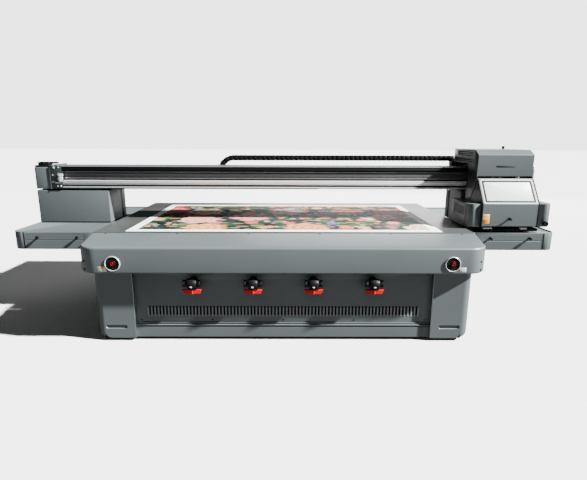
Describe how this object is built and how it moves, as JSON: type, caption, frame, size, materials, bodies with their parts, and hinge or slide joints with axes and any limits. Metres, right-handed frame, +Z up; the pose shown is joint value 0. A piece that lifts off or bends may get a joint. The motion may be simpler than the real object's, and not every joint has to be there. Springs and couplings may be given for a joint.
{
  "type": "flatbed uv printer",
  "caption": "Large-format flatbed printer: fixed vacuum bed on a panelled base, gantry with side pods, and a hooded UV print carriage with a cable chain.",
  "frame": {"origin": "centre of the machine's footprint at floor level, gantry and carriage in their stored positions", "axes": "+X to the operator's right along the beam, +Y from the operator to the rear, +Z up"},
  "size_m": [4.5, 2.188, 1.386],
  "materials": {
    "grey_paint": "satin powder-coated sheet steel",
    "cover_paint": "satin paint, a little lighter",
    "dark_paint": "dark green-black satin paint",
    "frame_steel": "matt dark primer",
    "polished_steel": "ground and polished",
    "aluminium": "anodised",
    "chrome": "polished",
    "bed_plate": "hard anodised, dark and glossy",
    "print": "printed sheet, gloss ink on white film",
    "red_plastic": "moulded, glossy",
    "black_plastic": "moulded, matt",
    "white_plastic": "translucent tank plastic",
    "hatch_glass": "tinted clear pane",
    "hatch_trim": "pale satin paint"
  },
  "bodies": {
    "base": {"base_frame": "frame_steel", "rail_beams": "grey_paint", "y_rails": "polished_steel", "corner_post_left": "grey_paint", "corner_post_right": "grey_paint", "side_panel_left": "grey_paint", "side_panel_right": "grey_paint", "rear_panel": "grey_paint", "front_panel": "grey_paint", "kick_panel": "grey_paint", "front_bumper": "cover_paint", "vacuum_bed": "bed_plate", "vacuum_plenum": "aluminium", "printed_sheet": "print", "vacuum_blower": "frame_steel", "vacuum_pipes": "frame_steel", "zone_valves": "black_plastic", "stop_rings": "chrome", "cover_screws": "black_plastic", "levelling_feet": "black_plastic", "control_cabinet": "grey_paint", "power_inlet": "black_plastic"},
    "gantry": {"gantry_beam": "grey_paint", "beam_rails": "polished_steel", "motor_track": "aluminium", "gantry_legs": "frame_steel", "end_cover_left": "grey_paint", "end_cover_right": "grey_paint", "leg_box_left": "grey_paint", "leg_box_right": "grey_paint", "side_pod_left": "grey_paint", "side_pod_right": "grey_paint", "runner_blocks": "frame_steel", "chain_tray": "frame_steel", "drag_chain_lower": "black_plastic", "ink_tanks": "white_plastic"},
    "chain_loop": {"drag_chain_loop": "black_plastic"},
    "carriage": {"carriage_plate": "frame_steel", "drag_chain_upper": "black_plastic"},
    "head": {"head_chassis": "aluminium", "print_heads": "aluminium", "uv_lamp_left": "grey_paint", "uv_lamp_right": "grey_paint", "hood_shell": "grey_paint", "hood_sides": "dark_paint", "hood_knobs": "black_plastic"},
    "hatch": {"front_hatch": "grey_paint", "hatch_window": "hatch_glass", "hatch_knob": "black_plastic"},
    "left_door": {"pod_door_left": "grey_paint", "pod_knobs_left": "black_plastic"},
    "right_door": {"pod_door_right": "grey_paint", "pod_knobs_right": "black_plastic"},
    "capping": {"capping_tray": "black_plastic"},
    "left_button": {"stop_button_left": "red_plastic"},
    "right_button": {"stop_button_right": "red_plastic"},
    "handle_1": {"valve_handle_1": "red_plastic"},
    "handle_2": {"valve_handle_2": "red_plastic"},
    "handle_3": {"valve_handle_3": "red_plastic"},
    "handle_4": {"valve_handle_4": "red_plastic"}
  },
  "joints": [
    {"name": "gantry_travel", "type": "slide", "parent": "base", "child": "gantry", "axis": [0, 1, 0], "range_m": [-0.48, 0.68]},
    {"name": "carriage_travel", "type": "slide", "parent": "gantry", "child": "carriage", "axis": [1, 0, 0], "range_m": [-2.95, 0], "deforming": ["drag_chain_upper", "drag_chain_lower"]},
    {"name": "chain_roll", "type": "slide", "parent": "gantry", "child": "chain_loop", "axis": [1, 0, 0], "range_m": [-1.48, 0.01]},
    {"name": "head_lift", "type": "slide", "parent": "carriage", "child": "head", "axis": [0, 0, 1], "range_m": [0, 0.1]},
    {"name": "hatch_swing", "type": "hinge", "parent": "head", "child": "hatch", "pos_m": [1.85, -0.27002, 1.117], "axis": [-1, 0, 0], "range_deg": [0, 75]},
    {"name": "left_door_drop", "type": "hinge", "parent": "gantry", "child": "left_door", "pos_m": [-1.85, -0.428, 0.553], "axis": [1, 0, 0], "range_deg": [0, 90]},
    {"name": "right_door_drop", "type": "hinge", "parent": "gantry", "child": "right_door", "pos_m": [1.85, -0.428, 0.553], "axis": [1, 0, 0], "range_deg": [0, 90]},
    {"name": "capping_lift", "type": "slide", "parent": "gantry", "child": "capping", "axis": [0, 0, 1], "range_m": [0, 0.014]},
    {"name": "handle_1_turn", "type": "hinge", "parent": "base", "child": "handle_1", "pos_m": [-0.639, -1.045, 0.393], "axis": [0, 0, 1], "range_deg": [0, 90]},
    {"name": "handle_2_turn", "type": "hinge", "parent": "base", "child": "handle_2", "pos_m": [-0.213, -1.045, 0.393], "axis": [0, 0, 1], "range_deg": [0, 90]},
    {"name": "handle_3_turn", "type": "hinge", "parent": "base", "child": "handle_3", "pos_m": [0.213, -1.045, 0.393], "axis": [0, 0, 1], "range_deg": [0, 90]},
    {"name": "handle_4_turn", "type": "hinge", "parent": "base", "child": "handle_4", "pos_m": [0.639, -1.045, 0.393], "axis": [0, 0, 1], "range_deg": [0, 90]},
    {"name": "left_stop_press", "type": "slide", "parent": "base", "child": "left_button", "axis": [0, 1, 0], "range_m": [0, 0.005], "stiffness_N_per_m": 1500},
    {"name": "right_stop_press", "type": "slide", "parent": "base", "child": "right_button", "axis": [0, 1, 0], "range_m": [0, 0.005], "stiffness_N_per_m": 1500}
  ],
  "couplings": [
    {"joint": "chain_roll", "follows": "carriage_travel", "ratio": 0.5}
  ]
}
